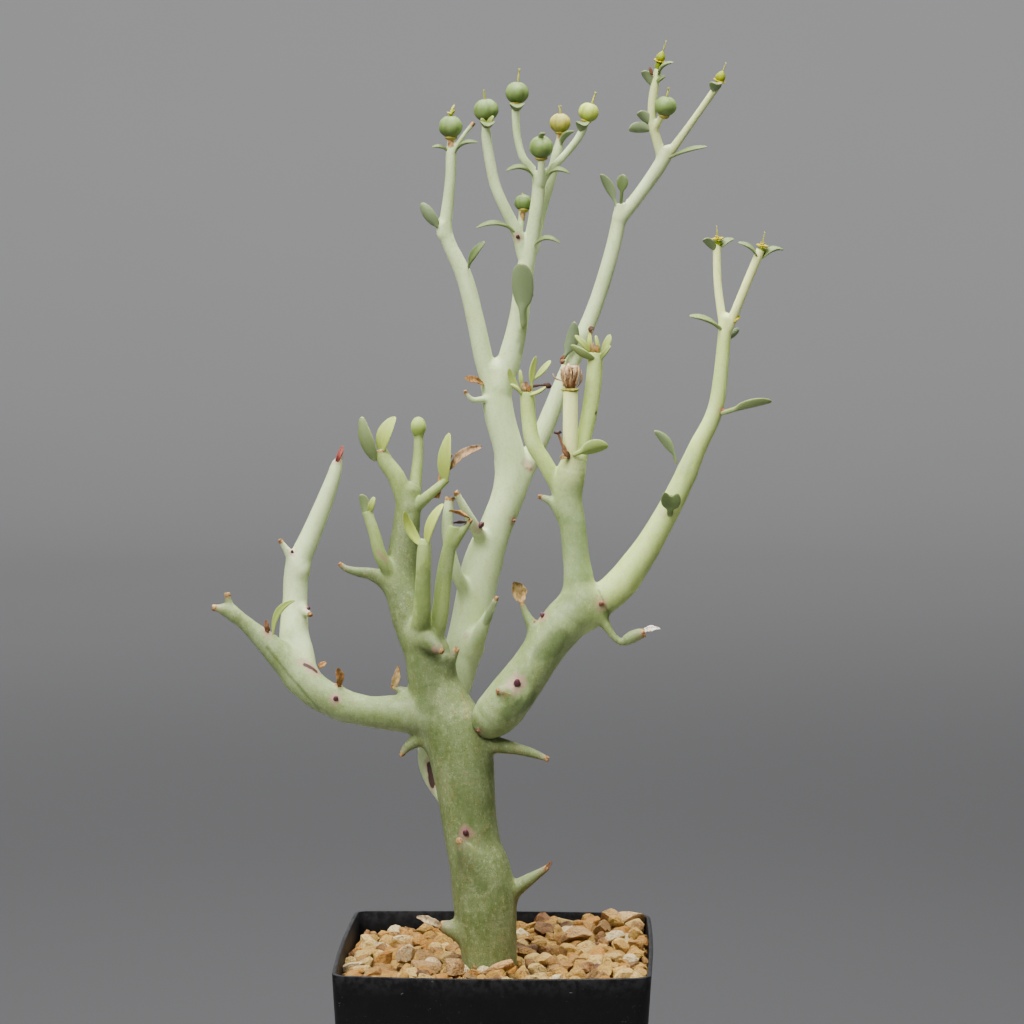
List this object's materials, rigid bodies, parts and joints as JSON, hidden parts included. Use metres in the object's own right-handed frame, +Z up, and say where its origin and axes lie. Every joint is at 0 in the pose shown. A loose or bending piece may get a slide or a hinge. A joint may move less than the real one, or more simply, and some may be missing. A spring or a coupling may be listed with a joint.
{
  "type": "potted euphorbia",
  "caption": "Branching succulent euphorbia with horned green stems, small leaves, round seed capsules and yellow flower heads, in a square black nursery pot topped with grit.",
  "frame": {"origin": "middle of the pot's flat foot, on the surface it stands on", "axes": "+Z up; the pot's bulging front wall faces -Y; +X to the right as seen from the front"},
  "size_m": [0.1384, 0.0788, 0.297],
  "materials": {
    "pot_plastic": "worn satin black, scuffed along the rim",
    "potting_soil": "dark crumbly potting mix",
    "grit": "angular cream, tan and ochre grit",
    "green_stem": "smooth green succulent skin with a waxy bloom and dark mottling",
    "pale_stem": "smooth pale yellow-green young skin",
    "capsule_skin": "matte olive fruit skin",
    "yellow_gland": "bright yellow waxy glands",
    "dry_leaf": "dry papery brown"
  },
  "bodies": {
    "root": {"pot": "pot_plastic", "soil": "potting_soil", "gravel": "grit", "trunk": "green_stem", "branch_right": "green_stem", "branch_left": "green_stem", "stem_back": "green_stem", "stem_back_left_arm": "green_stem", "stem_back_middle_arm": "green_stem", "stem_capsule_1": "green_stem", "stem_capsule_2": "green_stem", "stem_capsule_3": "green_stem", "stem_capsule_4": "green_stem", "stem_capsule_5": "green_stem", "stem_centre_left": "green_stem", "shoot_centre_left_a": "green_stem", "shoot_centre_left_b": "green_stem", "shoot_centre_left_c": "green_stem", "shoot_centre_left_d": "green_stem", "shoot_centre_left_front": "green_stem", "shoot_centre_left_inner": "green_stem", "shoot_left_upright": "green_stem", "stem_right_upright": "green_stem", "finger_right_left": "green_stem", "finger_right_right": "green_stem", "stem_right_long": "green_stem", "stem_back_right_arm": "pale_stem", "stem_top_right": "pale_stem", "ray_top_right": "pale_stem", "ray_top_left": "pale_stem", "finger_right_middle": "pale_stem", "ray_right_left": "pale_stem", "ray_right_right": "pale_stem", "capsule_1": "capsule_skin", "capsule_2": "capsule_skin", "capsule_3": "capsule_skin", "capsule_4": "capsule_skin", "capsule_5": "capsule_skin", "capsule_6": "capsule_skin", "capsule_7": "capsule_skin", "capsule_8": "capsule_skin", "flower_head_ray_left": "yellow_gland", "flower_head_ray_right": "yellow_gland", "flower_head_top_right": "yellow_gland", "flower_head_top_left": "yellow_gland", "dried_flower": "dry_leaf"}
  },
  "joints": []
}
